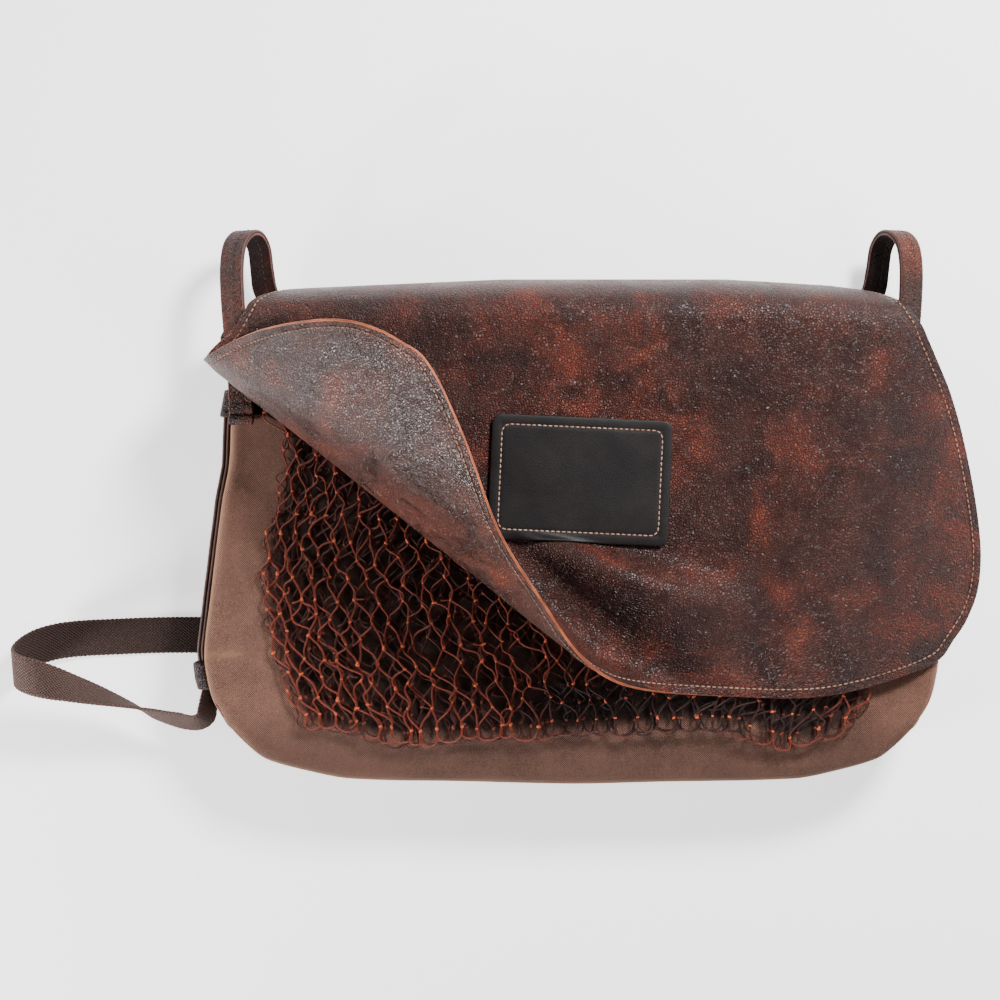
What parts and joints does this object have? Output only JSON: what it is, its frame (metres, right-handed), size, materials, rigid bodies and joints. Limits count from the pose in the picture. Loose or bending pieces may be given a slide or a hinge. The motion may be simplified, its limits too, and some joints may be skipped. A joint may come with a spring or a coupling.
{
  "type": "hunting game bag",
  "caption": "Hunting game bag lying on its back: canvas body, leather flap with one corner rolled over, knotted net pocket, leather loops, side straps with keepers and a webbing waist strap",
  "frame": {"origin": "middle of the underside of the back panel, on the plane that the bag lies on", "axes": "+X to the bag's right as seen from the front, +Y towards the mouth and the loops, +Z out of the front, away from the back panel"},
  "size_m": [0.5691, 0.3246, 0.1894],
  "materials": {
    "canvas": "waxed cotton canvas, matte, worn",
    "net_cord": "twisted rust cord, matte",
    "flap_leather": "oiled pull-up leather, semi-matte",
    "dark_leather": "dark smooth leather, semi-matte",
    "strap_leather": "dark worn leather, matte",
    "webbing": "cotton basket-weave webbing, matte"
  },
  "bodies": {
    "root": {"canvas_front": "canvas", "canvas_gusset": "canvas", "canvas_back": "canvas", "game_net": "net_cord", "leather_flap": "flap_leather", "patch": "dark_leather", "loop_left": "flap_leather", "loop_right": "flap_leather", "side_strap_left": "strap_leather", "side_strap_right": "strap_leather", "keeper_upper_left": "strap_leather", "keeper_upper_right": "strap_leather", "keeper_lower_left": "strap_leather", "keeper_lower_right": "strap_leather", "waist_strap": "webbing"}
  },
  "joints": []
}
